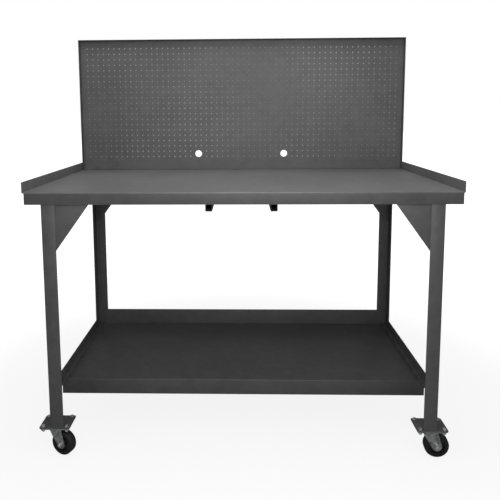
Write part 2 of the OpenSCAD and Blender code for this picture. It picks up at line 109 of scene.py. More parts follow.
# %% [markdown]
# ## Powder coat
#
# The frame, sheets and legs are mild steel with a dark grey polyester powder coat. The powder
# melts in an oven and sets with a slight orange peel, so a long edge shows a broken highlight.
# Noise patterns do it: two slow ones, added up, drift between two near greys, as the coat's
# thickness does, and a fine one for the peel drives both bump and roughness. Real peel is about
# 1.5 mm from lump to lump. It is drawn at 4 mm, because a pixel of the whole bench is over 3 mm
# wide.


# %% Powder coat material
DRIFT_SIZE = 220 * MM
CLOUD_SIZE = 35 * MM
PEEL_SIZE = 4 * MM
PEEL_DEPTH = 0.35 * MM
COAT_IOR = 1.5


def powder_coat(name, thin, thick, roughness):
    material, tree, shader, place = surface_material(name)
    drift = add(tree, "TexNoise", Vector=place, Scale=1 / DRIFT_SIZE, Detail=3.0, Roughness=0.55)
    cloud = add(tree, "TexNoise", Vector=place, Scale=1 / CLOUD_SIZE, Detail=2.0, Roughness=0.5)
    both = add(tree, "Math", {"operation": "ADD"}, _0=drift.outputs["Fac"], _1=cloud.outputs["Fac"])
    # each noise stays near 0.5, so their sum stays near 1
    tone = add(tree, "MapRange", Value=both.outputs["Value"], From_Min=0.75, From_Max=1.25)
    mix = add(tree, "Mix", {"data_type": "RGBA"}, _0=tone.outputs["Result"],
              _6=colour(thin), _7=colour(thick))
    tree.links.new(mix.outputs[2], shader.inputs["Base Color"])
    peel = add(tree, "TexNoise", Vector=place, Scale=1 / PEEL_SIZE, Detail=2.0, Roughness=0.6)
    gloss = add(tree, "MapRange", Value=peel.outputs["Fac"], From_Min=0.3, From_Max=0.7,
                To_Min=roughness - 0.05, To_Max=roughness + 0.07)
    tree.links.new(gloss.outputs["Result"], shader.inputs["Roughness"])
    bump = add(tree, "Bump", Height=peel.outputs["Fac"], Strength=0.35, Distance=PEEL_DEPTH)
    tree.links.new(bump.outputs["Normal"], shader.inputs["Normal"])
    shader.inputs["IOR"].default_value = COAT_IOR
    return material


coat = powder_coat("polyester powder coat, dark grey", "#474748", "#505051", 0.46)
# The shelf and its rails carry the same coat in darker greys: painted shade for the shadow that the worktop casts
# on them.
shelf_coat_with_painted_shade = powder_coat("polyester powder coat, dark grey, shelf", "#414142", "#4a4a4b", 0.5)
print("powder coats:", coat.name, "|", shelf_coat_with_painted_shade.name)

# %% [markdown]
# ## Zinc plate and bright steel
#
# The caster forks and plates are pressed steel with electroplated zinc that has dulled: the
# passivated layer is blotchy, pale grey and darker grey over a centimetre or two, and the
# pressing leaves shallow waves that break up the reflections. The rolled steel below gives
# the roughness a short grain. Bolts and nuts are newer and brighter, with the soft sheen of
# barrel plating. Sleeves and balls are ground steel, smoother and plainer.


# %% Plated and ground metals
BLOTCH_SIZE = 14 * MM
SWELL_SIZE = 20 * MM
GRAIN_STRETCH = 6.0
GRAIN_DEPTH = 0.1 * MM


def plated(name, pale, dull, roughness, grain, wave):
    material, tree, shader, place = surface_material(name)
    blotch = add(tree, "TexNoise", Vector=place, Scale=1 / BLOTCH_SIZE, Detail=3.0, Roughness=0.6)
    tone = add(tree, "MapRange", Value=blotch.outputs["Fac"], From_Min=0.35, From_Max=0.65)
    mix = add(tree, "Mix", {"data_type": "RGBA"}, _0=tone.outputs["Result"],
              _6=colour(pale), _7=colour(dull))
    tree.links.new(mix.outputs[2], shader.inputs["Base Color"])
    stretched = add(tree, "Mapping", Vector=place, Scale=(1.0, 1.0, GRAIN_STRETCH))
    rolled = add(tree, "TexNoise", Vector=stretched.outputs["Vector"], Scale=1 / grain, Detail=3.0,
                 Roughness=0.65)
    gloss = add(tree, "MapRange", Value=rolled.outputs["Fac"], From_Min=0.3, From_Max=0.7,
                To_Min=roughness - 0.06, To_Max=roughness + 0.1)
    tree.links.new(gloss.outputs["Result"], shader.inputs["Roughness"])
    swell = add(tree, "TexNoise", Vector=place, Scale=1 / SWELL_SIZE, Detail=1.0)
    pressed = add(tree, "Bump", Height=swell.outputs["Fac"], Strength=1.0, Distance=wave)
    bump = add(tree, "Bump", Height=rolled.outputs["Fac"], Strength=0.15, Distance=GRAIN_DEPTH,
               Normal=pressed.outputs["Normal"])
    tree.links.new(bump.outputs["Normal"], shader.inputs["Normal"])
    shader.inputs["Metallic"].default_value = 1.0
    return material


zinc = plated("dulled zinc plate", "#c3c6c9", "#7d7c79", 0.38, 3 * MM, 4 * MM)
bright_zinc = plated("barrel-plated bright zinc", "#e0e2e4", "#c4c4c1", 0.45, 2 * MM, 0.5 * MM)
ground = plated("ground bearing steel", "#d6d8da", "#cfd0d1", 0.18, 2 * MM, 0.05 * MM)
print("metals:", zinc.name, "|", bright_zinc.name, "|", ground.name)

# %% [markdown]
# ## Rubber and polypropylene
#
# The treads are hard black rubber: a dull sheen, a fine mould texture, and grey dust where
# they roll. The dust lies only on the outer face, so it follows the distance from the axle,
# which a small attribute on the mesh carries. The cores are moulded black polypropylene, a
# little glossier, with the spark-eroded grain that hides scratches.


# %% Rubber and plastic materials
PATCH_SIZE = 20 * MM
MOULD_DEPTH = 0.15 * MM


def moulded(name, deep, worn, roughness, grain, dust=None):
    material, tree, shader, place = surface_material(name)
    fine = add(tree, "TexNoise", Vector=place, Scale=1 / grain, Detail=2.0, Roughness=0.6)
    patch = add(tree, "TexNoise", Vector=place, Scale=1 / PATCH_SIZE, Detail=3.0)
    amount = patch.outputs["Fac"]
    if dust:
        rolled = add(tree, "Attribute", {"attribute_name": dust})
        both = add(tree, "Math", {"operation": "MULTIPLY"}, _0=amount, _1=rolled.outputs["Fac"])
        amount = both.outputs["Value"]
    mix = add(tree, "Mix", {"data_type": "RGBA"}, _0=amount, _6=colour(deep), _7=colour(worn))
    tree.links.new(mix.outputs[2], shader.inputs["Base Color"])
    gloss = add(tree, "MapRange", Value=fine.outputs["Fac"], From_Min=0.3, From_Max=0.7,
                To_Min=roughness - 0.06, To_Max=roughness + 0.06)
    tree.links.new(gloss.outputs["Result"], shader.inputs["Roughness"])
    bump = add(tree, "Bump", Height=fine.outputs["Fac"], Strength=0.3, Distance=MOULD_DEPTH)
    tree.links.new(bump.outputs["Normal"], shader.inputs["Normal"])
    return material


DUST = "rolled"
rubber = moulded("hard black rubber", "#0a0a0b", "#1e1d1c", 0.62, 1.5 * MM, dust=DUST)
plastic = moulded("moulded black polypropylene", "#101011", "#18181a", 0.45, 1 * MM)
print("moulded:", rubber.name, "|", plastic.name)

# %% [markdown]
# ## Finish every CAD piece first
#
# Each CAD node gets the finish of its slot, so nothing shows without one. Most nodes are then
# replaced by a piece with more detail. The balls and sleeves keep their CAD mesh, because a
# ground ball has no edges to round and a sleeve hardly shows between core and fork.

# %% Finishes on the carried-over nodes
slot_finish = {"paint": coat, "zinc": zinc, "bright_steel": ground, "core": plastic, "tread": rubber}
for entry in frame["record"]["subparts"]:
    piece = nodes[entry["node"]]
    piece.data.materials.clear()
    piece.data.materials.append(slot_finish[entry["material_slot"]])

# %% [markdown]
# ## Turn a bmesh into a piece
#
# Every new piece ends the same way: its faces are turned outwards, it becomes a smooth mesh
# whose real corners stay sharp, it gets its finish, and it rides on one body of the bench.
# A piece that stands for CAD nodes names them, and they no longer show.


# %% Piece helpers
NEAR = 0.01 * MM
WELD_GAP = 0.002 * MM


def finish_piece(mesh, name, material, body, replaced=(), smooth_angle=35):
    """Makes a bmesh an object with its finish, its body and the nodes that it stands for."""
    bmesh.ops.recalc_face_normals(mesh, faces=mesh.faces)
    data = bpy.data.meshes.new(name)
    mesh.to_mesh(data)
    mesh.free()
    data.shade_smooth()
    data.set_sharp_from_angle(angle=math.radians(smooth_angle))
    data.materials.append(material)
    piece = bpy.data.objects.new(name, data)
    bpy.context.scene.collection.objects.link(piece)
    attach(piece, body)
    if replaced:
        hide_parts(*replaced)
    return piece


def bevel(mesh, geom, width, segments, affect="EDGES"):
    bmesh.ops.bevel(mesh, geom=geom, offset=width, offset_type="OFFSET", segments=segments,
                    profile=0.5, affect=affect, clamp_overlap=True, material=-1)


def merged_copy(name):
    """A bmesh of a CAD node, whose loose triangles are merged at their corners."""
    mesh = bmesh.new()
    mesh.from_mesh(nodes[name].data)
    bmesh.ops.remove_doubles(mesh, verts=mesh.verts, dist=WELD_GAP)
    return mesh


# %% [markdown]
# ## Roll the edges of sheet and plate
#
# A sheared or sawn edge is never knife sharp: deburring and paint round it by half a
# millimetre, and that round edge is what catches the light along every fold, leg and rim.
# The CAD solids have sharp edges, so each one is copied, its loose triangles are merged into
# whole faces, and the edges that turn by more than 40 degrees get a small bevel. The curved
# folds turn in smaller steps than that, so they stay as they are.


# %% Bevelled copies of the sheet and plate pieces
def roll_edges(mesh, radius, least_turn=40):
    sharp = [e for e in mesh.edges if e.is_manifold and e.calc_face_angle(0) > math.radians(least_turn)]
    bevel(mesh, sharp, radius, segments=2)


def rolled_copy(name, radius, material, body="bench"):
    mesh = merged_copy(name)
    bmesh.ops.dissolve_limit(mesh, angle_limit=math.radians(0.5), verts=mesh.verts, edges=mesh.edges)
    roll_edges(mesh, radius)
    finish_piece(mesh, "rolled_" + name, material, body, [name])


SHEET_EDGE = 0.5 * MM
FORK_EDGE = 0.6 * MM
PLATE_EDGE = 0.7 * MM
for name in ("worktop", "panel_rim", "channel_left", "channel_right"):
    rolled_copy(name, SHEET_EDGE, coat)
# The shelf and rails take the darker coat, whose greys hold painted shade.
for name in ("shelf", "rail_left", "rail_right"):
    rolled_copy(name, SHEET_EDGE, shelf_coat_with_painted_shade)
for corner in CORNERS:
    for kind in ("leg", "gusset", "foot"):
        rolled_copy(f"{kind}_{corner}", PLATE_EDGE, coat)
    rolled_copy("plate_" + corner, PLATE_EDGE, zinc)
    rolled_copy("kingpin_" + corner, SHEET_EDGE, zinc)
    rolled_copy("fork_" + corner, FORK_EDGE, zinc, "swivel_" + corner)

# %% [markdown]
# ## Wheels
#
# Each wheel is a moulded core with a rubber tread. Both are turned shapes, so a short profile
# is spun about the axle and its ring edges are bevelled: wide on the tread's shoulders, narrow
# on the core. A wheel is built lying on the origin and then turned and moved to its axle,
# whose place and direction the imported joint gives. Its main sizes are measured on the CAD
# nodes, which are looked at from the axle for that.


# %% Wheel helpers and sizes
def axle_place(corner):
    """Matrix from a wheel lying on the origin to its place, with z along the axle."""
    joint = joints["roll_" + corner]
    along = Vector(joint["axis"]).normalized()
    turn = along.to_track_quat("Z", "Y").to_matrix().to_4x4()
    return Matrix.Translation(Vector(joint["pos_m"])) @ turn


def about_axle(data, corner):
    """Points of a mesh as they lie about a wheel's axle, with z along it."""
    inverse = axle_place(corner).inverted()
    return [inverse @ v.co for v in data.vertices]


def outer_radius(name, corner):
    return max(p.to_2d().length for p in about_axle(nodes[f"{name}_{corner}"].data, corner))


def half_width(name, corner):
    return max(abs(p.z) for p in about_axle(nodes[f"{name}_{corner}"].data, corner))


def both_sides(side, middle=()):
    """A closed profile from the (radius, height) points of its upper side, from the bore out."""
    return [(r, -z) for r, z in side] + list(middle) + [(r, z) for r, z in reversed(side)]


def ring(profile, steps):
    """Spins a closed profile of (radius, height) points about z."""
    mesh = bmesh.new()
    points = [mesh.verts.new((r, 0, z)) for r, z in profile]
    edges = [mesh.edges.new((points[i - 1], points[i])) for i in range(len(points))]
    bmesh.ops.spin(mesh, geom=points + edges, cent=(0, 0, 0), axis=(0, 0, 1), angle=2 * math.pi,
                   steps=steps, use_merge=True)
    bmesh.ops.remove_doubles(mesh, verts=mesh.verts, dist=WELD_GAP)
    return mesh


wheel_r = outer_radius("tread", "front_left")
core_r = outer_radius("core", "front_left")
tread_half = half_width("tread", "front_left")
hub_half = half_width("core", "front_left")
print("wheel radius, core radius, half tread, half hub in mm:",
      [round(v / MM, 2) for v in (wheel_r, core_r, tread_half, hub_half)])

# %% [markdown]
# ## Tread and core
#
# The tread carries the fine raised line that the joint of its mould leaves. The core has a
# thin web between hub and rim, with sloping sides that let it leave its mould. The dust on the
# rubber is a number on each point of the tread: 0 on the flanks and 1 where it meets the floor.

# %% Spin the treads and cores
TREAD_STEPS = 96
SHOULDER = 5.0 * MM
MOULD_LINE = 0.25 * MM
MOULD_LINE_HALF = 0.6 * MM
DUST_DEPTH = 2 * MM
DUST_FADE = 1.5 * MM

CORE_STEPS = 72
CORE_EDGE = 0.6 * MM
HUB_R = 12.5 * MM
BORE_R = 6.45 * MM
WEB_HALF = 5.0 * MM
CORE_HALF = tread_half - 1.5 * MM
CORE_RIM = 3.5 * MM
DRAFT = 1.5 * MM

tread_r = wheel_r - MOULD_LINE
rim_r = core_r - CORE_RIM
tread_side = [(core_r, tread_half), (tread_r, tread_half), (tread_r, MOULD_LINE_HALF)]
core_side = [(BORE_R, hub_half), (HUB_R, hub_half), (HUB_R + DRAFT, WEB_HALF),
             (rim_r - DRAFT, WEB_HALF), (rim_r, CORE_HALF), (core_r, CORE_HALF)]
for corner in CORNERS:
    tread = ring(both_sides(tread_side, [(wheel_r, 0)]), TREAD_STEPS)
    shoulders = [e for e in tread.edges
                 if all(abs(abs(v.co.z) - tread_half) < NEAR for v in e.verts)
                 and all(v.co.to_2d().length > wheel_r - 1 * MM for v in e.verts)]
    bevel(tread, shoulders, SHOULDER, segments=6)
    tread.transform(axle_place(corner))
    piece = finish_piece(tread, "rubber_tread_" + corner, rubber, "wheel_" + corner,
                         ["tread_" + corner], smooth_angle=50)
    dusty = piece.data.attributes.new(DUST, "FLOAT", "POINT")
    for i, point in enumerate(about_axle(piece.data, corner)):
        depth = wheel_r - point.to_2d().length
        dusty.data[i].value = max(0.0, min(1.0, (DUST_DEPTH - depth) / DUST_FADE))

    core = ring(both_sides(core_side), CORE_STEPS)
    roll_edges(core, CORE_EDGE, least_turn=30)
    core.transform(axle_place(corner))
    finish_piece(core, "moulded_core_" + corner, plastic, "wheel_" + corner, ["core_" + corner])
print("wheels:", len(CORNERS))

# %% [markdown]
# ## Bolts and nuts
#
# A hexagon head is a short six-sided bar whose corners are turned off at 30 degrees, so the
# top face is nearly round. Here the hexagon's top corners are bevelled as vertices, which
# cuts the same small triangles. The shank that shows below a nut has a rolled thread, drawn as
# a stack of alternately wide and narrow rings.


# %% Hexagon parts and threaded tips
CORNER_CUT = 0.13
THREAD_ROOT = 0.9
FLATS_PER_SHANK = 1.6
HEX_SMOOTH = 25


def last_face(extruded):
    """The face at the end of an extrusion."""
    return next(g for g in extruded["geom"] if isinstance(g, bmesh.types.BMFace))


def hexagon(mesh, flats, low, high, chamfer_low=False):
    """Adds a hexagon bar along z with its upper (and lower) corners turned off."""
    depth = high - low
    made = bmesh.ops.create_cone(mesh, cap_ends=True, cap_tris=False, segments=6,
                                 radius1=flats / math.sqrt(3), radius2=flats / math.sqrt(3), depth=depth,
                                 matrix=Matrix.Translation((0, 0, (low + high) / 2)))
    turned = [v for v in made["verts"] if v.co.z > high - depth / 4 or chamfer_low]
    bevel(mesh, turned, CORNER_CUT * flats, segments=1, affect="VERTICES")


def thread(mesh, radius, low, high, pitch):
    """Adds a threaded shank: rings that are wide and narrow in turn, closed at both ends."""
    start = bmesh.ops.create_circle(mesh, cap_ends=True, segments=24, radius=radius * THREAD_ROOT,
                                    matrix=Matrix.Translation((0, 0, low)))
    cap = start["verts"][0].link_faces[0]
    turns = max(1, round((high - low) / pitch))
    for step in range(2 * turns):
        cap = last_face(bmesh.ops.extrude_face_region(mesh, geom=[cap]))
        size = 1 / THREAD_ROOT if step % 2 == 0 else THREAD_ROOT
        bmesh.ops.translate(mesh, verts=cap.verts, vec=(0, 0, (high - low) / (2 * turns)))
        middle = Matrix.Translation(-cap.calc_center_median())
        bmesh.ops.scale(mesh, verts=cap.verts, vec=(size, size, 1), space=middle)


def join(target, part, place):
    """Copies a bmesh part into a target at a place."""
    scratch = bpy.data.meshes.new("scratch")
    part.to_mesh(scratch)
    scratch.transform(place)
    target.from_mesh(scratch)
    bpy.data.meshes.remove(scratch)


# %% [markdown]
# ## Where the caster bolts are
#
# All bolts are one CAD node and all nuts another, so their places are read from the separate
# solids in each mesh: points that edges join belong to the same solid. The list is sorted by
# place, so that each run turns each bolt by the same angle.


# %% Find the separate solids of a node
def solids(name):
    """Boxes of the separate solids of a CAD node: lowest corner, highest corner."""
    mesh = merged_copy(name)
    left, boxes = set(mesh.verts), []
    while left:
        front, found = [left.pop()], []
        while front:
            vertex = front.pop()
            found.append(vertex.co.copy())
            for edge in vertex.link_edges:
                other = edge.other_vert(vertex)
                if other in left:
                    left.remove(other)
                    front.append(other)
        boxes.append((Vector(map(min, zip(*found))), Vector(map(max, zip(*found)))))
    mesh.free()
    return sorted(boxes, key=lambda box: (round(box[0].x, 4), round(box[0].y, 4)))


def at_each(part, boxes, turn_step):
    """Copies of an upright part in the middle of each box, each turned a little further."""
    group = bmesh.new()
    for number, (low, high) in enumerate(boxes):
        middle = (low + high) / 2
        turn = Matrix.Rotation(math.radians(turn_step * number), 4, "Z")
        join(group, part, Matrix.Translation((middle.x, middle.y, 0)) @ turn)
    part.free()
    return group


# %% Caster bolts and nuts
BOLT_PITCH = 1.25 * MM
BOLT_TURN, NUT_TURN = 17, 23

bolts = solids("caster_bolts")
nuts = solids("caster_nuts")
shank_low, head_top = bolts[0][0].z, bolts[0][1].z
head_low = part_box("foot_front_left")[1][2]
flats = min(bolts[0][1].x - bolts[0][0].x, bolts[0][1].y - bolts[0][0].y)
print("caster bolts:", len(bolts), "flats in mm:", round(flats / MM, 2))

bolt = bmesh.new()
hexagon(bolt, flats, head_low, head_top)
thread(bolt, flats / FLATS_PER_SHANK / 2, shank_low, head_low, BOLT_PITCH)
nut = bmesh.new()
hexagon(nut, flats, nuts[0][0].z, nuts[0][1].z, chamfer_low=True)
finish_piece(at_each(bolt, bolts, BOLT_TURN), "caster_bolts_threaded", bright_zinc, "bench",
             ["caster_bolts"], HEX_SMOOTH)
finish_piece(at_each(nut, nuts, NUT_TURN), "caster_nuts_hexagon", bright_zinc, "bench",
             ["caster_nuts"], HEX_SMOOTH)

# %% [markdown]
# ## Axle bolts and nuts
#
# The bolt's head lies on one cheek of the fork and the nut on the other. Its shank is plain
# where it carries the sleeve and threaded at the tip, as a shoulder bolt of this size is.


# %% Axle bolts and nuts
def axle_range(name, corner):
    """Lowest and highest place of a node along its wheel's axle."""
    along = [p.z for p in about_axle(nodes[f"{name}_{corner}"].data, corner)]
    return min(along), max(along)


TIP_PITCH = 1.5 * MM
LOCK_TURN = 11
for corner in CORNERS:
    bolt_low, bolt_high = axle_range("axle", corner)
    nut_low, nut_high = axle_range("nut", corner)
    flats = 2 * outer_radius("nut", corner) * math.cos(math.radians(30))
    shank_r = flats / FLATS_PER_SHANK / 2
    cheek = -nut_high
    tip_high = nut_low + 2 * TIP_PITCH
    bolt = bmesh.new()
    hexagon(bolt, flats, cheek, bolt_high)
    thread(bolt, shank_r, bolt_low, tip_high, TIP_PITCH)
    bmesh.ops.create_cone(bolt, cap_ends=True, cap_tris=False, segments=32, radius1=shank_r, radius2=shank_r,
                          depth=cheek - tip_high, matrix=Matrix.Translation((0, 0, (cheek + tip_high) / 2)))
    bolt.transform(axle_place(corner))
    finish_piece(bolt, "axle_bolt_threaded_" + corner, bright_zinc, "swivel_" + corner,
                 ["axle_" + corner], HEX_SMOOTH)
    nut = bmesh.new()
    hexagon(nut, flats, nut_low, nut_high, chamfer_low=True)
    nut.transform(axle_place(corner) @ Matrix.Rotation(math.radians(LOCK_TURN), 4, "Z"))
    finish_piece(nut, "axle_nut_hexagon_" + corner, bright_zinc, "swivel_" + corner,
                 ["nut_" + corner], HEX_SMOOTH)
print("axle bolts:", len(CORNERS), "flats in mm:", round(flats / MM, 1))

# %% [markdown]
# ## The perforated sheet
#
# Pegboard steel is punched in rows on a one-inch pitch. A punched sheet could be cut with
# booleans, but over a thousand of them leave a heavy and untidy mesh. It is lighter to make
# one square cell with a round hole in it, by bridging a circle to a square with as many
# points, and to lay copies of it side by side. Two cells by two give way to one larger cell
# wherever a cord hole is. The margins grow out of the grid's edges, and one extrusion gives
# the sheet its thickness. The record's grid of open holes starts one row above the lowest,
# whose holes the worktop's back lip closes from behind.
#
# Behind each open peg hole a plain square is laid as well, a little behind the rim. The
# squares become a grey card that is no part of the bench: see the studio below.


# %% One punched cell
UPRIGHT = Matrix.Rotation(math.pi / 2, 4, "X")
PEG_PITCH = 25.4 * MM
PEG_CUTS, CORD_CUTS = 3, 7
CARD_GAP = 1 * MM


def upright_square(size):
    """A plain square sheet in the XZ plane."""
    mesh = bmesh.new()
    bmesh.ops.create_grid(mesh, x_segments=1, y_segments=1, size=size / 2, matrix=UPRIGHT)
    return mesh


def punched_cell(size, radius, cuts):
    """A square sheet cell in the XZ plane with a round hole: each side has cuts + 1 edges."""
    mesh = upright_square(size)
    side_edges = list(mesh.edges)
    bmesh.ops.delete(mesh, geom=list(mesh.faces), context="FACES_ONLY")
    bmesh.ops.subdivide_edges(mesh, edges=side_edges, cuts=cuts)
    outer = list(mesh.edges)
    turn = Matrix.Rotation(math.radians(45), 4, "Z")
    bmesh.ops.create_circle(mesh, cap_ends=False, segments=4 * (cuts + 1), radius=radius,
                            matrix=UPRIGHT @ turn)
    inner = [e for e in mesh.edges if e not in outer]
    bmesh.ops.bridge_loops(mesh, edges=outer + inner)
    return mesh


mounts = {mount["name"]: mount for mount in frame["record"]["mounts"]}
grid = mounts["peg_grid_corners"]
grid_width, grid_height = (grid["dims"][key] * MM for key in ("spacing_x_mm", "spacing_y_mm"))
columns = round(grid_width / PEG_PITCH) + 1
rows = round(grid_height / PEG_PITCH) + 2
cords = [Vector(mounts[name]["pos_m"]) for name in ("cord_hole_left", "cord_hole_right")]
print("peg columns and rows:", columns, rows)

# %% Lay the cells side by side
sheet_low, sheet_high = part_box("peg_panel")
card_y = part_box("panel_rim")[1][1] + CARD_GAP
peg_cell = punched_cell(PEG_PITCH, grid["dims"]["hole_r_mm"] * MM, PEG_CUTS)
cord_cell = punched_cell(2 * PEG_PITCH, mounts["cord_hole_left"]["dims"]["r_mm"] * MM, CORD_CUTS)
card_cell = upright_square(PEG_PITCH)
panel, card = bmesh.new(), bmesh.new()
holes = 0
for column in range(columns):
    for row in range(rows):
        x = grid["pos_m"][0] + (column - (columns - 1) / 2) * PEG_PITCH
        z = grid["pos_m"][2] + grid_height / 2 - row * PEG_PITCH
        if all(abs(x - c.x) > PEG_PITCH or abs(z - c.z) > PEG_PITCH for c in cords):
            join(panel, peg_cell, Matrix.Translation((x, sheet_low[1], z)))
            holes += 1
            if row < rows - 1:
                join(card, card_cell, Matrix.Translation((x, card_y, z)))
for c in cords:
    join(panel, cord_cell, Matrix.Translation((c.x, sheet_low[1], c.z)))
for cell in (peg_cell, cord_cell, card_cell):
    cell.free()
for mesh in (panel, card):
    bmesh.ops.remove_doubles(mesh, verts=mesh.verts, dist=NEAR)
print("peg holes:", holes)


# %% Margins and thickness
def new_points(extruded):
    return [g for g in extruded["geom"] if isinstance(g, bmesh.types.BMVert)]


def grow_edge(mesh, axis, limit, outward):
    """Extrudes the outermost edges along one axis to a limit."""
    reach = max(outward * v.co[axis] for v in mesh.verts)
    edge = [e for e in mesh.edges
            if e.is_boundary and all(outward * v.co[axis] > reach - NEAR for v in e.verts)]
    for v in new_points(bmesh.ops.extrude_edge_only(mesh, edges=edge)):
        v.co[axis] = limit


for axis in (0, 2):
    grow_edge(panel, axis, sheet_low[axis], -1)
    grow_edge(panel, axis, sheet_high[axis], 1)
front_faces = list(panel.faces)
bmesh.ops.recalc_face_normals(panel, faces=front_faces)
backed = bmesh.ops.extrude_face_region(panel, geom=front_faces, use_keep_orig=True)
bmesh.ops.translate(panel, verts=new_points(backed), vec=(0, sheet_high[1] - sheet_low[1], 0))
finish_piece(panel, "punched_sheet", coat, "bench", ["peg_panel"], smooth_angle=30)
print("sheet thickness in mm:", round((sheet_high[1] - sheet_low[1]) / MM, 2))

# %% [markdown]
# ## Weld beads
#
# The bench is welded before it is coated, so every joint has a bead under the paint: a low
# ridge with the ripples that the arc leaves every few millimetres. A bead is a half-sunk bar,
# extruded ring by ring, each ring a little wider or narrower than the last.


# %% A weld bead
FOOT_BEAD, BEAD = 2.2 * MM, 1.8 * MM
RIPPLE = 3.0 * MM
RIPPLE_SWELL = 1.22
BEAD_START = 0.8


def bead(mesh, start, end, radius=BEAD):
    start, end = Vector(start), Vector(end)
    along = end - start
    steps = max(2, 2 * round(along.length / RIPPLE))
    turn = along.to_track_quat("Z", "Y").to_matrix().to_4x4()
    made = bmesh.ops.create_circle(mesh, cap_ends=True, segments=10, radius=radius * BEAD_START,
                                   matrix=Matrix.Translation(start) @ turn)
    cap = made["verts"][0].link_faces[0]
    for step in range(steps):
        cap = last_face(bmesh.ops.extrude_face_region(mesh, geom=[cap]))
        size = RIPPLE_SWELL if step % 2 == 0 else 1 / RIPPLE_SWELL
        bmesh.ops.translate(mesh, verts=cap.verts, vec=along / steps)
        space = Matrix.Translation(-cap.calc_center_median())
        bmesh.ops.scale(mesh, verts=cap.verts, vec=(size, size, size), space=space)


def outer_inner(low, high, side):
    """The outer and the inner one of two limits, seen from the middle of the bench."""
    return (low, high) if side < 0 else (high, low)


# %% [markdown]
# ## Where the beads run
#
# Each leg is welded round its foot, down the edge that crosses the gusset, and the gusset's
# top edge is welded to the worktop in two runs, as a welder leaves them to keep the sheet
# flat. The side rails are welded to the legs at their ends and stitched to the shelf. The two
# rear corners of the worktop's tray are closed below the pegboard.

# %% Beads on the legs and gussets
LEG_T = 4.8 * MM
CORNER_IN = 2 * MM
HEEL = 10 * MM
LEG_BEAD = (30 * MM, 185 * MM)
INNER_RUN = (14 * MM, 55 * MM)
TIP_RUN = (50 * MM, 8 * MM)

welds = bmesh.new()
for corner in CORNERS:
    sx = -1 if "left" in corner else 1
    sy = -1 if "front" in corner else 1
    low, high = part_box("leg_" + corner)
    foot = low[2]
    outer_x, inner_x = outer_inner(low[0], high[0], sx)
    outer_y, inner_y = outer_inner(low[1], high[1], sy)
    # round the foot of the angle, on the foot plate
    bead(welds, (outer_x, inner_y, foot), (outer_x, outer_y - sy * CORNER_IN, foot), FOOT_BEAD)
    face_y = outer_y - sy * LEG_T
    bead(welds, (inner_x, face_y, foot), (outer_x - sx * HEEL, face_y, foot), FOOT_BEAD)
    # down the edge of the leg, on the gusset
    low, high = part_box("gusset_" + corner)
    top = high[2]
    face_y, back_y = outer_inner(low[1], high[1], sy)
    tip_x = outer_inner(low[0], high[0], sx)[1]
    bead(welds, (inner_x, face_y, top - LEG_BEAD[0]), (inner_x, face_y, top - LEG_BEAD[1]))
    # the gusset's top edge under the worktop
    bead(welds, (inner_x - sx * INNER_RUN[0], back_y, top), (inner_x - sx * INNER_RUN[1], back_y, top))
    bead(welds, (tip_x + sx * TIP_RUN[0], back_y, top), (tip_x + sx * TIP_RUN[1], back_y, top))
print("weld rings on the legs:", len(welds.faces))

# %% Beads on the rails and in the tray's corners
RAIL_MIDDLE = 1.6 * MM
RAIL_BEAD = 38 * MM
STITCH_HALF = 20 * MM
STITCH_IN, STITCH_NEXT = 60 * MM, 290 * MM
TRAY_DOWN = 1.2 * MM
TRAY_LAP = 1 * MM

shelf_low, shelf_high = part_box("shelf")
stitches = (shelf_low[1] + STITCH_IN, shelf_low[1] + STITCH_NEXT, shelf_high[1] - STITCH_IN)
for name, sx in (("rail_left", -1), ("rail_right", 1)):
    low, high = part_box(name)
    outer_x, inner_x = outer_inner(low[0], high[0], sx)
    x = outer_x - sx * RAIL_MIDDLE
    for y, inward in ((low[1], RAIL_BEAD), (high[1], -RAIL_BEAD)):
        bead(welds, (x, y, high[2]), (x, y + inward, high[2]))
    for y in stitches:
        bead(welds, (inner_x, y - STITCH_HALF, low[2]), (inner_x, y + STITCH_HALF, low[2]))
top_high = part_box("worktop")[1]
y, z = top_high[1] - CORNER_IN, sheet_low[2] - TRAY_DOWN
for sx in (-1, 1):
    bead(welds, (sx * (sheet_high[0] - TRAY_LAP), y, z), (sx * (top_high[0] - CORNER_IN), y, z))
print("weld rings in all:", len(welds.faces))
finish_piece(welds, "weld_beads", coat, "bench")

# %% [markdown]
# ## Studio
#
# The photo is a cut-out on white. The floor is a plain pale sheet that reflects little light
# on the bench. To a camera ray it is mostly plain white: near the casters a small share is a
# diffuse surface that takes their soft shadow, and further out it fades to the white of the
# world behind it, so no horizon shows.
#
# In the photo the wall of the room still shows through the peg holes as a faint, uneven grey.
# A card behind the sheet gives the same: it is grey to the camera from the front, and clear to
# every other ray, so it changes neither the light on the bench nor the view from behind.


# %% Floor
def staged(mesh, name, material):
    """An object that belongs to the studio and not to the bench."""
    data = bpy.data.meshes.new(name)
    mesh.to_mesh(data)
    mesh.free()
    data.materials.append(material)
    piece = bpy.data.objects.new(name, data)
    bpy.context.scene.collection.objects.link(piece)


FLOOR_HALF = 30.0
SHADOW_SHARE = 0.3
WHITE_LEVEL = 1.25
FADE_START, FADE_END = 1.1, 2.4
WHITE = (1, 1, 1, 1)


def floor_material():
    material, tree, place = empty_material("pale studio floor")
    distance = add(tree, "VectorMath", {"operation": "LENGTH"}, _0=place)
    fade = add(tree, "MapRange", {"interpolation_type": "SMOOTHSTEP"}, Value=distance.outputs["Value"],
               From_Min=FADE_START, From_Max=FADE_END, To_Min=1 - SHADOW_SHARE, To_Max=1.0)
    seen = add(tree, "LightPath")
    amount = add(tree, "Math", {"operation": "MULTIPLY"}, _0=seen.outputs["Is Camera Ray"],
                 _1=fade.outputs["Result"])
    diffuse = add(tree, "BsdfDiffuse", Color=colour("#9a9a9a"), Roughness=0.0)
    white = add(tree, "Emission", Color=WHITE, Strength=WHITE_LEVEL)
    mix = add(tree, "MixShader", Fac=amount.outputs["Value"], _1=diffuse.outputs["BSDF"],
              _2=white.outputs["Emission"])
    add(tree, "OutputMaterial", Surface=mix.outputs["Shader"])
    return material


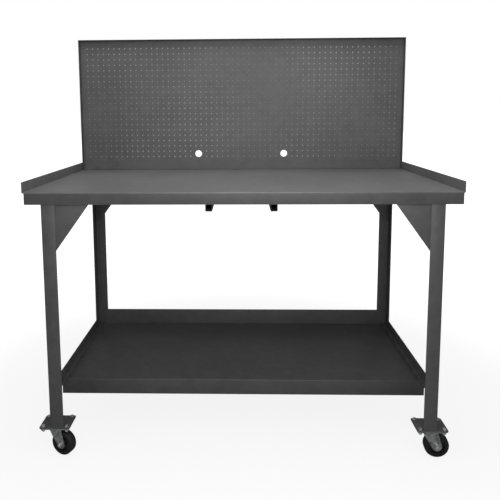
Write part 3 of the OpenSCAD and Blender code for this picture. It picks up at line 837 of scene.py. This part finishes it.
floor_mesh = bmesh.new()
bmesh.ops.create_grid(floor_mesh, x_segments=1, y_segments=1, size=FLOOR_HALF)
staged(floor_mesh, "floor", floor_material())
print("floor shadow share:", SHADOW_SHARE)

# %% Card behind the pegboard
CARD_LOW, CARD_HIGH = 0.14, 0.29
CARD_DRIFT = 500 * MM


def card_material():
    """Grey to a camera ray from the front, and clear to every other ray."""
    material, tree, place = empty_material("grey card")
    drift = add(tree, "TexNoise", Vector=place, Scale=1 / CARD_DRIFT, Detail=1.0)
    tone = add(tree, "MapRange", Value=drift.outputs["Fac"], From_Min=0.35, From_Max=0.65,
               To_Min=CARD_LOW, To_Max=CARD_HIGH)
    grey = add(tree, "Emission", Color=WHITE, Strength=tone.outputs["Result"])
    behind = add(tree, "NewGeometry").outputs["Backfacing"]
    front = add(tree, "Math", {"operation": "SUBTRACT"}, _0=1.0, _1=behind)
    seen = add(tree, "Math", {"operation": "MULTIPLY"}, _0=front.outputs["Value"],
               _1=add(tree, "LightPath").outputs["Is Camera Ray"])
    clear = add(tree, "BsdfTransparent")
    mix = add(tree, "MixShader", Fac=seen.outputs["Value"], _1=clear.outputs["BSDF"],
              _2=grey.outputs["Emission"])
    add(tree, "OutputMaterial", Surface=mix.outputs["Shader"])
    return material


staged(card, "card behind the pegboard", card_material())
print("card levels:", CARD_LOW, CARD_HIGH)

# %% World
SKY_LIGHT = 0.22
world = bpy.data.worlds.new("studio")
bpy.context.scene.world = world
world.use_nodes = True
sky = world.node_tree
sky.nodes.clear()
seen = add(sky, "LightPath")
plain = add(sky, "Math", {"operation": "MAXIMUM"}, _0=seen.outputs["Is Camera Ray"],
            _1=seen.outputs["Is Transmission Ray"])
level = add(sky, "MapRange", Value=plain.outputs["Value"], To_Min=SKY_LIGHT, To_Max=1.0)
background = add(sky, "Background", Color=WHITE, Strength=level.outputs["Result"])
add(sky, "OutputWorld", Surface=background.outputs["Background"])
print("sky light:", SKY_LIGHT)

# %% [markdown]
# ## Lamps
#
# The photo's light is soft and comes from above and in front. One strong softbox hangs over
# the bench, and three weaker ones of the same size stand in front. None stands behind, because
# the shelf would mirror it to the camera.


# %% Soft lamps
BOX_SIZE = 1.6


def softbox(name, place, aim, power):
    lamp = bpy.data.lights.new(name, "AREA")
    lamp.shape = "RECTANGLE"
    lamp.size = lamp.size_y = BOX_SIZE
    lamp.energy = power
    box = bpy.data.objects.new(name, lamp)
    bpy.context.scene.collection.objects.link(box)
    box.location = place
    box.rotation_euler = (Vector(aim) - Vector(place)).to_track_quat("-Z", "Y").to_euler()


softbox("top, over the bench", (0, 0, 3.0), (0, 0, 0.9), 63)
softbox("high, front right", (2.5, -3.0, 3.0), (0, 0, 0.8), 11)
softbox("near, front left", (-1.2, -1.3, 2.6), (-0.3, 0, 0.9), 10)
softbox("low, in front", (0.12, -1.5, 1.35), (0, 0, 0.8), 18)
print("lamps:", len(bpy.data.lights))

# %% [markdown]
# ## Camera
#
# The camera was found from about 150 edge points of the photo: it stands 1.26 m above the
# floor, 1.87 m in front of the worktop, and looks down by 6.6 degrees. The lens axis meets the
# photo above its middle, because the photo is the lower part of a taller frame. A lens shift
# reproduces that.

# %% Camera
FRAME_PX = 500
FOCAL_PX = 550.6
AXIS_U, AXIS_V = 227.2, 175.0
SENSOR_MM = 36.0
CAMERA_X, CAMERA_AWAY, CAMERA_HEIGHT = -0.0011, 1.8684, 1.2617
PITCH, YAW, ROLL = -0.1156, 0.0252, -0.0059

camera_data = bpy.data.cameras.new("camera")
camera_data.sensor_fit = "HORIZONTAL"
camera_data.sensor_width = SENSOR_MM
camera_data.lens = FOCAL_PX / FRAME_PX * SENSOR_MM
camera_data.shift_x = (FRAME_PX / 2 - AXIS_U) / FRAME_PX
camera_data.shift_y = (AXIS_V - FRAME_PX / 2) / FRAME_PX
camera = bpy.data.objects.new("camera", camera_data)
bpy.context.scene.collection.objects.link(camera)
front_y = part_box("worktop")[0][1]
stand = Matrix.Translation((CAMERA_X, front_y - CAMERA_AWAY, CAMERA_HEIGHT))
tilt = Matrix.Rotation(math.pi / 2 + PITCH, 4, "X")
camera.matrix_world = stand @ Matrix.Rotation(YAW, 4, "Z") @ tilt @ Matrix.Rotation(ROLL, 4, "Z")
bpy.context.scene.camera = camera
bpy.context.scene.view_settings.view_transform = "Standard"
print("lens in mm:", round(camera_data.lens, 1))
print("shift:", round(camera_data.shift_x, 3), round(camera_data.shift_y, 3))
